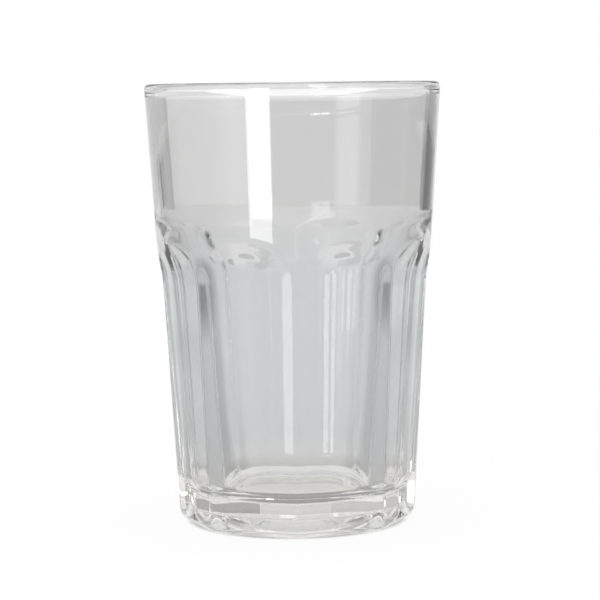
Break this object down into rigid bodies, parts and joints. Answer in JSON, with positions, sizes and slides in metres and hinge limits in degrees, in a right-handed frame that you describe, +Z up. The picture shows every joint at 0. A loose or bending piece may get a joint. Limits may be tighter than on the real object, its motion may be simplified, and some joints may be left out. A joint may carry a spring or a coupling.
{
  "type": "panelled drinking tumbler",
  "caption": "Clear pressed-glass tumbler: a smooth flared band above flat panels that run out in arches, on a thick base; holds a cold drink.",
  "frame": {"origin": "centre of the standing plane under the base, on the axis of the glass", "axes": "+Z up along the axis of the glass; ridges between panels lie over the X and Y axes"},
  "size_m": [0.0872, 0.0872, 0.13],
  "materials": {
    "clear_glass": "clear soda-lime glass, fire-polished"
  },
  "bodies": {
    "root": {"tumbler": "clear_glass"}
  },
  "joints": []
}
